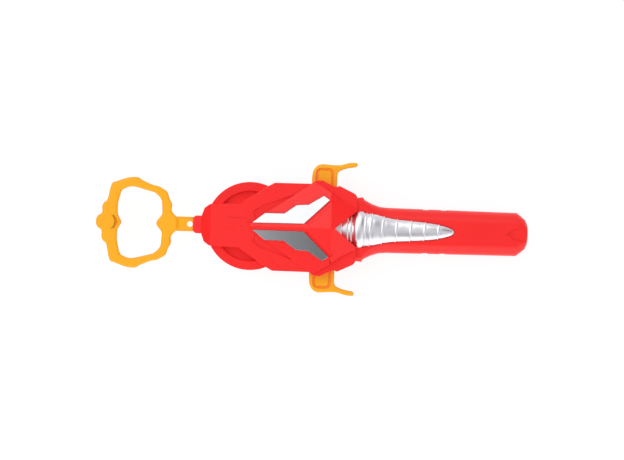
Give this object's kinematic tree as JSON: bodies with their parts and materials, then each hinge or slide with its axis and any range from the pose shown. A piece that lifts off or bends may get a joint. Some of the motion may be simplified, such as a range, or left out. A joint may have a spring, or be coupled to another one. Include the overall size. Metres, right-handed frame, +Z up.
{
  "type": "spinning top launcher",
  "caption": "Hand-held launcher for spinning tops: a toothed strip on a pull ring turns a geared spindle in the round head, with squeeze levers and a long rounded handle.",
  "frame": {"origin": "centre of the launch cup's open rim, on the axis of the spindle and on the surface that the launcher lies on", "axes": "+X from the pull ring towards the end of the handle, +Y to the left lever, +Z up from the surface the launcher lies on"},
  "size_m": [0.2672, 0.0826, 0.036],
  "materials": {
    "red_plastic": "smooth moulded, slightly glossy",
    "collar_plastic": "smooth moulded",
    "yellow_plastic": "smooth moulded",
    "silver_plating": "vacuum plated plastic",
    "white_plastic": "self-lubricating engineering plastic",
    "brass": "turned",
    "steel": "drawn wire and turned pins"
  },
  "bodies": {
    "housing": {"lower_shell": "red_plastic", "upper_shell": "red_plastic", "wing_plate": "red_plastic", "shield": "red_plastic", "inlay_left": "silver_plating", "inlay_right": "silver_plating", "drill_insert": "silver_plating", "strip_collar": "collar_plastic", "idler_axle": "steel", "lower_bush": "brass", "upper_bush": "brass", "gear_plate": "white_plastic", "gear_plate_screws": "steel", "lever_pin_left": "steel", "lever_pin_right": "steel", "lever_spring_left": "steel", "lever_spring_right": "steel", "housing_screws": "steel", "cover_screws": "steel"},
    "pull_strip": {"pull_ring": "yellow_plastic", "toothed_strip": "yellow_plastic"},
    "idler": {"idler_gear": "white_plastic"},
    "drive": {"spindle": "steel", "spindle_gear": "white_plastic", "chuck": "white_plastic", "chuck_screw": "steel"},
    "left_lever": {"lever_left": "yellow_plastic"},
    "right_lever": {"lever_right": "yellow_plastic"}
  },
  "joints": [
    {"name": "strip_slide", "type": "slide", "parent": "housing", "child": "pull_strip", "axis": [-1, 0, 0], "range_m": [0, 0.147]},
    {"name": "idler_spin", "type": "hinge", "parent": "housing", "child": "idler", "pos_m": [0.01299, 0.0075, 0.0166], "axis": [0, 0, 1], "range_deg": [-1685, 0]},
    {"name": "spindle_spin", "type": "hinge", "parent": "housing", "child": "drive", "pos_m": [0, 0, 0.0134], "axis": [0, 0, 1], "range_deg": [0, 3370]},
    {"name": "lever_left_squeeze", "type": "hinge", "parent": "housing", "child": "left_lever", "pos_m": [0.033, 0.0195, 0.0204], "axis": [0, 0, 1], "range_deg": [-6.5, 0], "stiffness_Nm_per_rad": 0.58, "springref_deg": 1.15, "deforming": ["lever_spring_left"]},
    {"name": "lever_right_squeeze", "type": "hinge", "parent": "housing", "child": "right_lever", "pos_m": [0.033, -0.0195, 0.0204], "axis": [0, 0, 1], "range_deg": [0, 6.5], "stiffness_Nm_per_rad": 0.58, "springref_deg": -1.15, "deforming": ["lever_spring_right"]}
  ],
  "couplings": [
    {"joint": "idler_spin", "follows": "strip_slide", "rad_per_m": -200},
    {"joint": "spindle_spin", "follows": "strip_slide", "rad_per_m": 400}
  ]
}
